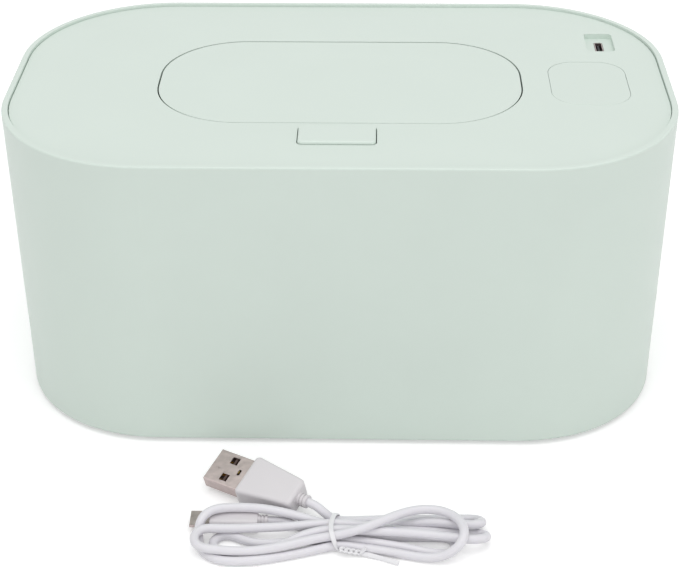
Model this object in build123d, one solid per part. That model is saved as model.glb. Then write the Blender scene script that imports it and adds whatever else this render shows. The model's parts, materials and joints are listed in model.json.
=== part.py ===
"""Baby wipe warmer with a lift-off heating cover, a flip lid and its charging lead.

Millimetres, +Z up. The floor is at z = 0, the middle of the case at x = y = 0, and the
front of the case faces -Y. Every sub-part is one function that returns its solids, and
every height and offset is worked out from the driving dimensions below.
"""
from build123d import *
import math
import os

# ---- case ----
case_width = 215.0
case_depth = 130.0
case_height = 100.0
corner_radius = 48.3
case_draft = 0.83            # degrees, the walls lean in towards the floor
case_wall = 2.0
case_floor = 2.2
rim_round = 0.6
ledge_width = 2.6            # shelf inside the wall that carries the cover
ledge_thickness = 2.6
ledge_chamfer = 1.6
foot_proud = 1.5
foot_recess = 1.0
foot_radius = 7.0
foot_side_inset = 35.0
foot_front_inset = 27.0

# ---- lift-off cover ----
panel_recess = 0.8           # the panel lies this much below the rim
panel_thickness = 2.0
panel_gap = 0.2
panel_edge_round = 0.25
seal_thickness = 1.0
seal_width = 1.7
shell_gap = 1.0              # between the cover's lower shell and the ledge
shell_wall = 1.8
shell_floor = 2.0
piece_gap = 0.2              # general clearance between pieces that are put together
channel_side_inset = 13.0    # passage for the wipes, from the lid's side inwards
channel_depth = 44.0
channel_radius = 20.0
channel_wall = 1.5

# ---- heater stack ----
plate_thickness = 0.8
film_thickness = 0.4
foam_thickness = 3.0
film_margin = 4.0
heater_screw_inset = 23.5    # from the case's side
heater_screw_y = 20.0

# ---- screws ----
cover_screw_radius = 1.5
cover_boss_radius = 3.5
cover_screw_length = 9.0
small_screw_radius = 1.1
small_boss_radius = 2.7
small_screw_length = 5.0
screw_hole_gap = 0.3
screw_head_height = 1.4
screw_recess_depth = 0.6
screw_recess_reach = 2.4     # length of the cross in shank radii
screw_recess_width = 0.4     # and its width
corner_screw_inset_x = 35.5
corner_screw_inset_y = 18.5
left_screw_inset = 13.5
rear_screw_inset = 13.0

# ---- flip lid ----
lid_side_inset = 48.5        # from the case's side to the lid's
lid_depth = 63.5
lid_radius = 27.2
lid_centre_y = -0.75
lid_seam = 0.35
lid_plate = 1.8
lid_edge_undercut = 20.0     # degrees, clears the panel's edge as the lid turns
lid_height = 6.8             # from the lid's top to the underside of its inner shell
lid_inset = 2.2              # the inner shell stands this far inside the lid's outline
lid_wall = 1.4
lid_rib_height = 2.2
well_wall = 1.5
well_floor = 1.7

# ---- dispensing mouth ----
mouth_side_inset = 19.0      # from the lid's side to the mouth's
mouth_depth = 34.0
mouth_rim_wall = 2.0
collar_flange = 1.2
lip_thickness = 1.2
lip_skirt = 1.0
slot_side_inset = 9.0        # from the mouth's side to the slot's
slot_depth = 14.0
gasket_width = 2.4
gasket_proud = 0.6
gasket_gap = 0.1
gasket_groove = 0.5

# ---- lid hinge ----
hinge_back = 5.0             # the pin lies this far behind the lid's back edge
hinge_drop = 3.6             # and this far below the panel's top
pin_radius = 1.0
pin_clearance = 0.06
pin_seat_gap = 0.02
pin_overhang = 1.0
barrel_radius = 1.8
hinge_relief = 0.4           # the panel is this much thinner above the barrels
arm_thickness = 2.0
arm_width = 6.0
arm_reach = 11.0             # from the pin forward to the front of the arm's riser
arm_riser = 3.0
arm_bend_round = 1.8
arm_sweep_gap = 0.3          # between the arm and the panel's edge as the lid turns
arm_floor_gap = 1.0
arm_side_gap = 0.3
arm_span = 21.0              # inner face of an arm from the middle
hinge_back_gap = 0.8
lid_spring_width = 5.6
lid_spring_wire = 0.25       # wire radius
lid_spring_turns = 5.75      # the part turn sets one leg level and the other upright
lid_spring_gap = 0.15
lid_spring_leg = 3.5

# ---- catch and release button ----
button_width = 24.0
button_depth = 12.0
button_radius = 1.5
button_strip = 3.2           # strip of panel between the lid and the button
button_proud = 1.0
button_gap = 0.3
button_travel = 2.0
button_top = 1.6
button_wall = 1.5
button_height = 7.2
button_edge_round = 0.8
button_wing = 1.2
button_wing_thickness = 0.9
sleeve_wall = 1.2
wing_stop_gap = 0.05
toe_width = 6.4
toe_gap = 0.25               # above the hook's nose
toe_rise = 1.8               # height of the toe's sloping face
toe_thickness = 1.2
toe_lead = 0.3               # the slope starts this far in front of the nose
hook_width = 14.0
hook_thickness = 1.4
hook_nose_drop = 7.8         # from the panel's top to the flat of the hook's nose
hook_nose_height = 2.6
hook_nose_flat = 0.6
hook_clearance = 0.35        # between the hook and the well's front wall
hook_nose_reach = 0.25       # the nose passes this far through the well's wall
window_gap = 0.4
button_spring_x = 7.0
button_spring_radius = 1.9
button_spring_wire = 0.2
button_spring_turns = 7
spring_post_radius = 1.1
spring_post_height = 5.0

# ---- display window ----
window_width = 25.2
window_depth = 33.3
window_radius = 9.0
window_side_inset = 26.5
window_y = -1.65
window_thickness = 1.5
window_ledge = 1.2
window_seam = 0.12

# ---- charging socket ----
pocket_width = 9.5
pocket_length = 15.0
pocket_radius = 1.5
pocket_side_inset = 19.65
pocket_rear_inset = 33.4
pocket_depth = 1.8
pocket_wall = 1.4
port_width = 3.0
port_length = 8.0
socket_width = 2.7
socket_length = 7.6
socket_height = 5.0
socket_skin = 0.3
socket_round = 0.7
tongue_setback = 0.6         # below the socket's open end
tongue_thickness = 0.7

# ---- control board ----
board_thickness = 1.6
board_front_inset = 37.0     # from the case's front to the board's front edge
board_left_inset = 42.5      # from the case's right side to the board's left edge
board_right_inset = 10.5
board_rear_inset = 25.5      # from the case's back to the board's back edge
board_corner_cut_x = 10.0
board_corner_cut_y = 18.5
board_screw_inset = 4.0
board_screw_window_gap = 2.0  # from the window's back edge to the screw behind it
digits_width = 20.0
digits_depth = 13.0
digits_height = 4.0
digits_offset = 4.0          # the digits' middle lies this far behind the window's
digit_stroke = 0.9
digit_gap = 0.3              # between the ends of neighbouring bars
digits_round = 0.5
board_corner_round = 1.5
chip_size = 7.0
chip_height = 1.2
chip_round = 0.3
chip_mark_radius = 0.5
chip_mark_depth = 0.2
coil_block_size = 6.5
coil_block_height = 3.2
coil_block_round = 1.0
capacitor_radius = 2.8
capacitor_height = 4.6
transistor_size = 5.0
transistor_height = 1.7
touch_spring_radius = 2.4
touch_spring_wire = 0.25
touch_spring_turns = 4
touch_spring_spacing = 11.0
wire_radius = 0.8
wire_spacing = 3.0
wire_bend = 2.5
wire_board_gap = 1.4
sensor_wire_radius = 0.5
sensor_wire_spacing = 1.4
sensor_height = 2.2
sensor_radius = 1.6
connector_height = 4.0
connector_width = 7.0
connector_length = 8.0
sensor_connector_width = 5.0
sensor_connector_length = 4.0
sensor_connector_back = 8.0  # from the board's front edge to the connector's front face
heater_connector_back = 5.5  # from the board's back edge to the connector's rear face
fuse_radius = 1.3
fuse_length = 8.0
fuse_lead_radius = 0.35
fuse_x = -62.0

# ---- charging lead ----
cord_diameter = 2.8
lead_length = 8.0
micro_lead_length = 17.0
usb_shell_width = 12.0
usb_shell_height = 4.5
usb_shell_length = 12.3
usb_skin = 0.3
usb_window_size = 2.6
usb_window_x = 6.3           # from the open end to the middle of the windows
usb_window_y = 3.3
usb_slot_x = 9.8             # small slot between the windows and the grip
usb_slot_length = 2.2
usb_slot_width = 1.0
usb_tongue_height = 1.9
usb_tongue_setback = 1.0     # from the sleeve's open end
usb_contact_count = 4
usb_contact_setback = 1.5
usb_contact_length = 7.0
usb_contact_width = 1.0
usb_contact_height = 0.15
usb_contact_pitch = 2.4
usb_grip_width = 15.2
usb_grip_height = 7.4
usb_grip_length = 19.0
usb_grip_rear_width = 10.0
usb_grip_corner = 1.5
usb_grip_round = 1.2
relief_groove_depth = 0.3
relief_groove_width = 0.45
relief_groove_count = 2
usb_relief_length = 3.2
usb_relief_radius = 2.1
usb_tip = (-38.0, -19.3)     # middle of the plug's open end, y from the case's front
usb_heading = -29.3          # degrees, the way from the plug's open end to its cord
usb_roll = 18.0              # degrees, tipped by its stiff cord onto the grip's front edge
micro_shell_width = 6.85
micro_shell_height = 1.8
micro_shell_length = 6.0
micro_shell_taper = 1.0
micro_shell_back = 1.0       # closed part of the sleeve
micro_grip_width = 7.4
micro_grip_height = 4.6
micro_grip_length = 14.6
micro_grip_round = 1.4
micro_grip_front_round = 0.5
micro_relief_length = 3.0
micro_relief_radius = 1.9
micro_tip = (-43.6, -41.5)
hank_height = 6.0
hank_round = 1.2
hank_corner_round = 5.0
hank_left = [
    (-7.0, -43.0),
    (-17.5, -45.6),
    (-45.2, -45.6),
    (-43.6, -57.0),
    (-33.0, -61.2),
    (-21.0, -60.8),
]
hank_right = [
    (12.0, -55.4),
    (21.0, -58.0),
    (33.0, -59.4),
    (42.0, -55.4),
    (50.2, -51.6),
    (50.2, -40.4),
    (41.0, -38.6),
    (34.0, -34.4),
    (23.0, -34.6),
    (12.0, -38.2),
]
tie_x = 1.5
tie_back_y = -38.8           # the bundle's two sides where the tie holds it
tie_front_y = -54.2
tie_width = 2.2
tie_thickness = 0.6
tie_notch = 2.0              # cleared round the tie, past the hank's outline
tie_tail = [(2.2, -54.9), (12.0, -57.8), (20.0, -60.6)]

# ---- heights and places that follow from the sizes above ----
rim_z = foot_proud + case_height
panel_top = rim_z - panel_recess
panel_bottom = panel_top - panel_thickness
ledge_top = panel_bottom - seal_thickness
arm_drop = math.hypot(hinge_back - lid_seam, hinge_drop) + arm_sweep_gap + arm_thickness
well_floor_top = panel_top - hinge_drop - arm_drop - arm_floor_gap
shell_floor_top = well_floor_top - well_floor
foam_top = shell_floor_top - shell_floor
film_top = foam_top - foam_thickness
plate_top = film_top - film_thickness
cover_bottom = plate_top - plate_thickness
shell_inset = case_wall + ledge_width + shell_gap
stack_inset = shell_inset + shell_wall + piece_gap
lid_width = case_width - 2 * lid_side_inset
lid_front = lid_centre_y - lid_depth / 2
lid_back = lid_centre_y + lid_depth / 2
lid_plate_bottom = panel_top - lid_plate
lid_bottom = panel_top - lid_height
gasket_bottom = lid_bottom - gasket_proud
lip_top = gasket_bottom - gasket_gap
mouth_rim_top = lip_top - lip_thickness
mouth_width = lid_width - 2 * mouth_side_inset
slot_width = mouth_width - 2 * slot_side_inset
channel_width = lid_width - 2 * channel_side_inset
well_front = lid_front - lid_seam
hinge_y = lid_back + hinge_back
hinge_z = panel_top - hinge_drop
hinge_pocket_inner = arm_span - arm_side_gap
hinge_pocket_outer = arm_span + arm_width + lid_spring_width + 3 * arm_side_gap
hinge_pocket_back = hinge_y + barrel_radius + hinge_back_gap
pin_length = 2 * (hinge_pocket_outer + well_wall + pin_overhang)
button_y = lid_front - button_strip - button_depth / 2
button_back = button_y + button_depth / 2
button_top_z = panel_top + button_proud
button_underside = button_top_z - button_top
button_skirt_bottom = button_top_z - button_height
sleeve_bottom = button_skirt_bottom + button_wing_thickness + wing_stop_gap
hook_nose_z = panel_top - hook_nose_drop
hook_nose_tip = well_front - well_wall - hook_nose_reach
toe_bottom = hook_nose_z + toe_gap
toe_top = toe_bottom + toe_rise + toe_thickness
window_x = case_width / 2 - window_side_inset
pocket_x = case_width / 2 - pocket_side_inset
pocket_y = case_depth / 2 - pocket_rear_inset
pocket_floor = panel_top - pocket_depth
board_top = pocket_floor - socket_height
board_bottom = board_top - board_thickness
board_left = case_width / 2 - board_left_inset
board_right = case_width / 2 - board_right_inset
board_front = board_front_inset - case_depth / 2
board_back = case_depth / 2 - board_rear_inset
board_mid_x = (board_left + board_right) / 2
sensor_y = board_front - wire_board_gap
heater_wire_y = board_back + wire_board_gap
case_front = -case_depth / 2
usb_grip_half = usb_grip_height / 2 - usb_grip_round
usb_grip_side = usb_grip_width / 2 - usb_grip_round
usb_tilt = math.radians(usb_roll)
usb_centre_z = usb_grip_half * math.cos(usb_tilt) + usb_grip_side * math.sin(usb_tilt) + usb_grip_round
micro_centre_z = micro_grip_height / 2

cover_screw_places = [
    (case_width / 2 - corner_screw_inset_x, case_depth / 2 - corner_screw_inset_y),
    (corner_screw_inset_x - case_width / 2, case_depth / 2 - corner_screw_inset_y),
    (case_width / 2 - corner_screw_inset_x, corner_screw_inset_y - case_depth / 2),
    (corner_screw_inset_x - case_width / 2, corner_screw_inset_y - case_depth / 2),
    (left_screw_inset - case_width / 2, 0.0),
    (0.0, case_depth / 2 - rear_screw_inset),
]
heater_screw_x = case_width / 2 - heater_screw_inset
heater_screw_places = [(x * heater_screw_x, y * heater_screw_y) for x in (-1, 1) for y in (-1, 1)]
board_screw_places = [
    (board_left + board_screw_inset, board_front + board_screw_inset),
    (board_right - board_screw_inset, board_front + board_screw_inset),
    (board_left + board_screw_inset, board_back - board_screw_inset),
    (board_right - board_screw_inset, window_y + window_depth / 2 + board_screw_window_gap),
]
button_spring_places = [(side * button_spring_x, button_y) for side in (-1, 1)]


# ---- shared shapes ----
def slab(width, depth, radius, low, high, centre=(0.0, 0.0)):
    """Rounded-corner slab between two heights."""
    outline = RectangleRounded(width, depth, radius)
    return extrude(Pos(centre[0], centre[1], low) * outline, amount=high - low)


def case_slab(inset, low, high):
    """Slab on the case's outline, moved in by inset."""
    return slab(case_width - 2 * inset, case_depth - 2 * inset, corner_radius - inset, low, high)


def lid_slab(offset, low, high):
    """Slab on the flip lid's outline, moved out by offset."""
    centre = (0.0, lid_centre_y)
    return slab(lid_width + 2 * offset, lid_depth + 2 * offset, lid_radius + offset, low, high, centre)


def mouth_slab(growth, low, high):
    """Slab with half-round ends on the mouth's outline, moved out by growth."""
    outline = SlotOverall(mouth_width + 2 * growth, mouth_depth + 2 * growth)
    return extrude(Pos(0, lid_centre_y, low) * outline, amount=high - low)


def channel_slab(growth, low, high):
    """Slab on the outline of the wipes' passage, moved out by growth."""
    centre = (0.0, lid_centre_y)
    width = channel_width + 2 * growth
    depth = channel_depth + 2 * growth
    return slab(width, depth, channel_radius + growth, low, high, centre)


def block(x_low, x_high, y_low, y_high, z_low, z_high):
    """Box between two corners."""
    centre = Pos((x_low + x_high) / 2, (y_low + y_high) / 2, (z_low + z_high) / 2)
    return centre * Box(x_high - x_low, y_high - y_low, z_high - z_low)


def rod(place, low, high, radius):
    """Upright cylinder at (x, y) between two heights."""
    return Pos(place[0], place[1], (low + high) / 2) * Cylinder(radius, high - low)


def cross_rod(x_low, x_high, y, z, radius):
    """Cylinder along X."""
    return Pos((x_low + x_high) / 2, y, z) * Rot(0, 90, 0) * Cylinder(radius, x_high - x_low)


def side_block(side, x_low, x_high, y_low, y_high, z_low, z_high):
    """Box on the right (side 1) or the left (side -1), with x counted from the middle."""
    return block(*sorted((side * x_low, side * x_high)), y_low, y_high, z_low, z_high)


def coil(place, low, high, radius, wire, turns):
    """Compression spring, wire centre line on the given radius."""
    height = high - low - 2 * wire
    path = Pos(place[0], place[1], low + wire) * Helix(pitch=height / turns, height=height, radius=radius)
    section = Plane(origin=path @ 0, z_dir=path % 0) * Circle(wire)
    return sweep(section, path=path)


def screw(place, seat, length, radius):
    """Pan-head screw under its seat, with a cross recess."""
    head = rod(place, seat - screw_head_height, seat, 2 * radius)
    head = fillet(head.edges().group_by(Axis.Z)[0], screw_head_height / 3)
    long = screw_recess_reach * radius
    short = screw_recess_width * radius
    low = seat - screw_head_height
    for width, depth in ((long, short), (short, long)):
        head -= Pos(place[0], place[1], low) * Box(width, depth, 2 * screw_recess_depth)
    return head + rod(place, seat, seat + length, radius)


# ---- case ----
def foot_places():
    x = case_width / 2 - foot_side_inset
    y = case_depth / 2 - foot_front_inset
    return [(side * x, end * y) for side in (-1, 1) for end in (-1, 1)]


def outer_case():
    """Tub with leaning walls, a shelf for the cover and seats for the feet."""
    rim = Pos(0, 0, rim_z)
    outline = RectangleRounded(case_width, case_depth, corner_radius)
    body = extrude(rim * outline, amount=-case_height, taper=case_draft)
    body = fillet(body.faces().sort_by(Axis.Z)[-1].edges(), rim_round)
    body = fillet(body.faces().sort_by(Axis.Z)[0].edges(), rim_round)
    inside = 2 * case_wall
    mouth = RectangleRounded(case_width - inside, case_depth - inside, corner_radius - case_wall)
    body -= extrude(rim * mouth, amount=case_floor - case_height, taper=case_draft)
    ledge = case_slab(case_wall / 2, ledge_top - ledge_thickness, ledge_top)
    ledge -= case_slab(case_wall + ledge_width, ledge_top - ledge_thickness, ledge_top)
    under = ledge.faces().sort_by(Axis.Z)[0].inner_wires()[0]
    body += chamfer(under.edges(), ledge_chamfer)
    for place in foot_places():
        body -= rod(place, foot_proud, foot_proud + foot_recess, foot_radius + piece_gap)
    return body


def rubber_feet():
    """Four discs let into the underside of the case."""
    feet = [rod(place, 0.0, foot_proud + foot_recess, foot_radius) for place in foot_places()]
    return [fillet(foot.edges().group_by(Axis.Z)[0], foot_proud / 3) for foot in feet]


# ---- lift-off cover ----
def hinge_pocket(side, growth, low, high):
    """Space behind the lid's well for one arm and its spring, moved out by growth."""
    front = lid_back - arm_reach / 2
    return side_block(side, hinge_pocket_inner - growth, hinge_pocket_outer + growth, front,
                      hinge_pocket_back + growth, low, high)


def button_opening(growth, low, high):
    """Slab on the outline of the button's opening, moved out by growth."""
    offset = button_gap + growth
    return slab(button_width + 2 * offset, button_depth + 2 * offset, button_radius + offset, low, high,
                (0.0, button_y))


def window_slab(growth, low, high):
    """Slab on the display window's outline, moved out by growth."""
    return slab(window_width + 2 * growth, window_depth + 2 * growth, window_radius + growth, low, high,
                (window_x, window_y))


def pocket_slab(growth, low, high):
    """Slab on the outline of the charging socket's pocket, moved out by growth."""
    return slab(pocket_width + 2 * growth, pocket_length + 2 * growth, pocket_radius + growth, low, high,
                (pocket_x, pocket_y))


def hook_window():
    """Opening in the well's front wall for the hook's nose, with a slot above it for the button's toe."""
    outer = well_front - 2 * well_wall - hook_nose_reach
    half = hook_width / 2 + window_gap
    bottom = hook_nose_z - hook_nose_height - window_gap
    window = block(-half, half, outer, well_front, bottom, hook_nose_z + piece_gap)
    half = toe_width / 2 + window_gap
    front = button_back - button_wall
    return window + block(-half, half, front, well_front, hook_nose_z, toe_top + window_gap)


def cover_top_panel():
    """Top of the cover, moulded in one with the lid's well, the sleeves and the bosses."""
    panel = case_slab(case_wall + panel_gap, panel_bottom, panel_top)
    panel = fillet(panel.faces().sort_by(Axis.Z)[-1].edges(), panel_edge_round)
    panel += lid_slab(lid_seam + well_wall, shell_floor_top, panel_bottom)
    panel += [hinge_pocket(side, well_wall, shell_floor_top, panel_bottom) for side in (1, -1)]
    panel += button_opening(sleeve_wall, sleeve_bottom, panel_bottom)
    housing = pocket_slab(pocket_wall, pocket_floor - pocket_wall, panel_bottom)
    panel += housing & case_slab(stack_inset, pocket_floor - pocket_wall, panel_bottom)
    panel += [rod(place, shell_floor_top, panel_bottom, cover_boss_radius) for place in cover_screw_places]
    panel += [rod(place, board_top, panel_bottom, small_boss_radius) for place in board_screw_places]

    panel -= lid_slab(lid_seam, well_floor_top, panel_top)
    barrel_front = hinge_y - barrel_radius - hinge_relief
    for side in (1, -1):
        panel -= hinge_pocket(side, 0.0, well_floor_top, panel_bottom)
        panel -= side_block(side, hinge_pocket_inner, hinge_pocket_outer, barrel_front, hinge_pocket_back,
                            panel_bottom, panel_bottom + hinge_relief)
    panel -= cross_rod(-pin_length / 2, pin_length / 2, hinge_y, hinge_z, pin_radius + pin_seat_gap)
    panel -= mouth_slab(mouth_rim_wall + piece_gap, shell_floor_top, well_floor_top)
    panel -= button_opening(0.0, sleeve_bottom, panel_top)
    panel -= hook_window()
    panel -= window_slab(window_seam, panel_top - window_thickness, panel_top)
    panel -= window_slab(-window_ledge, panel_bottom, panel_top)
    panel -= pocket_slab(0.0, pocket_floor, panel_top)
    panel -= slab(port_width, port_length, port_width / 4, pocket_floor - pocket_wall, pocket_floor,
                  (pocket_x, pocket_y))
    for place in cover_screw_places:
        top = shell_floor_top + cover_screw_length
        panel -= rod(place, shell_floor_top, top, cover_screw_radius + pin_seat_gap)
    for place in board_screw_places:
        top = board_bottom + small_screw_length + piece_gap
        panel -= rod(place, board_top, top, small_screw_radius + pin_seat_gap)
    return panel


def cover_bottom_shell():
    """Underside of the cover: a tray that closes the electronics in and holds the heater below."""
    shell = case_slab(shell_inset, cover_bottom, panel_bottom)
    shell -= case_slab(shell_inset + shell_wall, shell_floor_top, panel_bottom)
    shell -= case_slab(shell_inset + shell_wall, cover_bottom, foam_top)
    shell += channel_slab(channel_wall, cover_bottom, foam_top)
    shell += [rod(place, plate_top, foam_top, small_boss_radius) for place in heater_screw_places]
    shell += [rod(place, shell_floor_top, shell_floor_top + spring_post_height, spring_post_radius)
              for place in button_spring_places]
    shell -= channel_slab(0.0, cover_bottom, shell_floor_top)
    for place in cover_screw_places:
        shell -= rod(place, foam_top, shell_floor_top, cover_screw_radius + screw_hole_gap)
    for place in heater_screw_places:
        top = cover_bottom + small_screw_length + piece_gap
        shell -= rod(place, plate_top, top, small_screw_radius + pin_seat_gap)
    for place, radius in wire_passages():
        shell -= rod(place, foam_top, shell_floor_top, radius + window_gap)
    return shell


def cover_seal_ring():
    """Silicone ring between the case's shelf and the panel."""
    outer = case_wall + panel_gap + piece_gap
    inner = outer + seal_width
    return case_slab(outer, ledge_top, panel_bottom) - case_slab(inner, ledge_top, panel_bottom)


def release_button():
    """Hollow push button with wings that stop it from lifting out and a toe that frees the hook."""
    centre = (0.0, button_y)
    body = slab(button_width, button_depth, button_radius, button_skirt_bottom, button_top_z, centre)
    body = fillet(body.faces().sort_by(Axis.Z)[-1].edges(), button_edge_round)
    body -= slab(button_width - 2 * button_wall, button_depth - 2 * button_wall, button_radius / 2,
                 button_skirt_bottom, button_underside, centre)
    reach = button_width / 2 + button_wing
    wing_half = button_depth / 2 - button_radius - piece_gap
    wing_top = button_skirt_bottom + button_wing_thickness
    for side in (1, -1):
        body += side_block(side, button_width / 2 - button_wall, reach, button_y - wing_half,
                           button_y + wing_half, button_skirt_bottom, wing_top)
    post_low = button_underside - spring_post_height / 2
    body += [rod(place, post_low, button_underside, spring_post_radius) for place in button_spring_places]
    toe = Plane.YZ * Polygon(
        (button_back - button_wall, toe_bottom),
        (hook_nose_tip - toe_lead, toe_bottom),
        (well_front, toe_bottom + toe_rise),
        (well_front, toe_top),
        (button_back - button_wall, toe_top),
        align=None,
    )
    return body + extrude(toe, amount=toe_width / 2, both=True)


def button_springs():
    """Two coils that push the button back up."""
    return [coil(place, shell_floor_top, button_underside, button_spring_radius, button_spring_wire,
                 button_spring_turns) for place in button_spring_places]


# ---- heater stack ----
def stack_holes(low, high, boss_radius):
    """What passes through the heater stack: the collar of the passage and the screw bosses."""
    holes = channel_slab(channel_wall + piece_gap, low, high)
    return holes + [rod(place, low, high, boss_radius) for place in heater_screw_places]


def wire_passages():
    """(place, radius) of each hole that a wire passes through."""
    heater = [((x, heater_wire_y), wire_radius) for x in heater_wire_xs()]
    sensor = [((board_mid_x, sensor_y), sensor_radius)]
    return heater + sensor


def heater_plate():
    """Aluminium sheet that warms the wipes from above."""
    plate = case_slab(stack_inset, cover_bottom, plate_top)
    return plate - stack_holes(cover_bottom, plate_top, small_screw_radius + screw_hole_gap)


def heating_film():
    """Printed heating element stuck to the plate."""
    film = case_slab(stack_inset + film_margin, plate_top, film_top)
    return film - stack_holes(plate_top, film_top, small_boss_radius + piece_gap)


def insulation_foam():
    """Foam that keeps the heat below, with room for the screw heads, the wires and the fuse."""
    foam = case_slab(stack_inset, film_top, foam_top)
    foam -= stack_holes(film_top, foam_top, small_boss_radius + piece_gap)
    for place in cover_screw_places:
        foam -= rod(place, film_top, foam_top, 2 * cover_screw_radius + window_gap)
    for place, radius in wire_passages():
        foam -= rod(place, film_top, foam_top, radius + window_gap)
    reach = fuse_length / 2 + 2 * window_gap + fuse_radius
    return foam - block(fuse_x - fuse_radius - window_gap, fuse_x + fuse_radius + window_gap, -reach, reach,
                        film_top, foam_top)


def thermal_fuse():
    """Small cylinder on the film, its two leads bent down to the film."""
    z = film_top + fuse_radius
    body = Pos(fuse_x, 0, z) * Rot(90, 0, 0) * Cylinder(fuse_radius, fuse_length)
    for end in (1, -1):
        y = end * (fuse_length / 2 + fuse_radius / 2)
        body += Pos(fuse_x, end * (fuse_length / 2 + fuse_radius / 4), z) * Rot(90, 0, 0) * Cylinder(
            fuse_lead_radius, fuse_radius / 2 + 2 * fuse_lead_radius)
        body += rod((fuse_x, y), film_top, z, fuse_lead_radius)
    return body


def thermistor():
    """Sensor bead on the film under its own hole in the foam."""
    bead = rod((board_mid_x, sensor_y), film_top, film_top + sensor_height, sensor_radius)
    return fillet(bead.edges().group_by(Axis.Z)[-1], sensor_radius / 3)


# ---- flip lid ----
def lid_outer_shell():
    """Flush plate with a rib that locates the inner shell."""
    outline = Pos(0, lid_centre_y, panel_top) * RectangleRounded(lid_width, lid_depth, lid_radius)
    plate = extrude(outline, amount=-lid_plate, taper=lid_edge_undercut)
    plate = fillet(plate.faces().sort_by(Axis.Z)[-1].edges(), panel_edge_round)
    rib_outer = lid_inset + lid_wall + piece_gap
    low = lid_plate_bottom - lid_rib_height
    plate += lid_slab(-rib_outer, low, lid_plate_bottom)
    return plate - lid_slab(-rib_outer - lid_wall, low, lid_plate_bottom)


def lid_arm(side):
    """Swan-neck arm that reaches round the panel's edge to the pin."""
    z_in = hinge_z - arm_drop + arm_thickness
    z_out = hinge_z - arm_drop
    web_back = hinge_y + barrel_radius
    riser_front = hinge_y - arm_reach
    riser_back = riser_front + arm_riser
    root = lid_bottom + lid_wall / 2
    profile = Polygon(
        (web_back - arm_thickness, hinge_z),
        (web_back, hinge_z),
        (web_back, z_out),
        (riser_front, z_out),
        (riser_front, root),
        (riser_back, root),
        (riser_back, z_in),
        (web_back - arm_thickness, z_in),
        align=None,
    )
    outer = profile.vertices().group_by(Axis.Y)[0]
    profile = fillet(outer, arm_bend_round)
    profile += Pos(hinge_y, hinge_z) * Circle(barrel_radius)
    profile -= Pos(hinge_y, hinge_z) * Circle(pin_radius + pin_clearance)
    middle = side * (arm_span + arm_width / 2)
    return Pos(middle, 0, 0) * extrude(Plane.YZ * profile, amount=arm_width / 2, both=True)


def lid_inner_shell():
    """Tray that closes the lid from below, with the two hinge arms and the gasket's groove."""
    shell = lid_slab(-lid_inset, lid_bottom, lid_plate_bottom)
    shell -= lid_slab(-lid_inset - lid_wall, lid_bottom + lid_wall, lid_plate_bottom)
    shell += [lid_arm(side) for side in (1, -1)]
    groove = gasket_ring(lid_bottom, lid_bottom + gasket_groove, piece_gap / 2)
    return shell - groove


def gasket_ring(low, high, growth):
    """Ring over the mouth's rim, widened by growth on both sides."""
    outer = mouth_slab(mouth_rim_wall + growth, low, high)
    return outer - mouth_slab(mouth_rim_wall - gasket_width - growth, low, high)


def lid_gasket():
    """Silicone ring under the lid that closes the mouth."""
    return gasket_ring(gasket_bottom, lid_bottom + gasket_groove, 0.0)


def lid_catch_hook():
    """Springy hook on the front of the lid, its nose caught under the edge of the window."""
    back = lid_front + lid_inset
    front = well_front + hook_clearance
    low = hook_nose_z - hook_nose_height
    profile = Polygon(
        (front + hook_thickness, low),
        (front + hook_thickness, lid_bottom + piece_gap),
        (back, lid_bottom + piece_gap),
        (back, lid_plate_bottom - piece_gap),
        (front, lid_plate_bottom - piece_gap),
        (front, hook_nose_z),
        (hook_nose_tip, hook_nose_z),
        (hook_nose_tip, hook_nose_z - hook_nose_flat),
        (front, low),
        align=None,
    )
    return extrude(Plane.YZ * profile, amount=hook_width / 2, both=True)


def hinge_pin():
    """Steel pin through both arms, seated in the walls of the panel's pockets."""
    return cross_rod(-pin_length / 2, pin_length / 2, hinge_y, hinge_z, pin_radius)


def lid_spring(side):
    """Torsion coil round the pin beside one arm, one leg forward along the arm and one down the pocket."""
    radius = pin_radius + lid_spring_gap + lid_spring_wire
    length = lid_spring_width - 4 * lid_spring_wire
    path = Helix(pitch=length / lid_spring_turns, height=length, radius=radius)
    section = Plane(origin=path @ 0, z_dir=path % 0) * Circle(lid_spring_wire)
    spring = sweep(section, path=path)
    for end, turn in ((0, -1), (1, 1)):
        start = Plane(origin=path @ end, z_dir=(path % end) * turn)
        spring += extrude(start * Circle(lid_spring_wire), amount=lid_spring_leg)
    x = arm_span + arm_width + 2 * arm_side_gap + lid_spring_wire
    placed = Pos(x, hinge_y, hinge_z) * Rot(0, 90, 0) * spring
    return placed if side > 0 else mirror(placed, about=Plane.YZ)


def lid_springs():
    """The pair of coils that open the lid."""
    return [lid_spring(side) for side in (1, -1)]


# ---- dispensing mouth ----
def mouth_collar():
    """Rim round the mouth, pressed into the floor of the well up to its flange."""
    collar = mouth_slab(mouth_rim_wall, shell_floor_top, mouth_rim_top)
    collar += mouth_slab(mouth_rim_wall + collar_flange, well_floor_top, well_floor_top + lip_skirt)
    return collar - mouth_slab(0.0, shell_floor_top, mouth_rim_top)


def opening_lip():
    """Soft cap over the mouth's rim with the slot that the wipes are drawn through."""
    outer = mouth_rim_wall + piece_gap + lip_skirt
    low = well_floor_top + lip_skirt
    lip = mouth_slab(outer, low, lip_top)
    lip = fillet(lip.faces().sort_by(Axis.Z)[-1].edges(), lip_thickness / 2)
    lip -= mouth_slab(mouth_rim_wall + piece_gap, low, mouth_rim_top)
    slot = Pos(0, lid_centre_y, mouth_rim_top) * SlotOverall(slot_width, slot_depth)
    return lip - extrude(slot, amount=lip_thickness)


# ---- display, socket and control board ----
def display_window():
    """Flush insert that the display shines through."""
    window = window_slab(0.0, panel_top - window_thickness, panel_top)
    return fillet(window.faces().sort_by(Axis.Z)[-1].edges(), panel_edge_round / 2)


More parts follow.
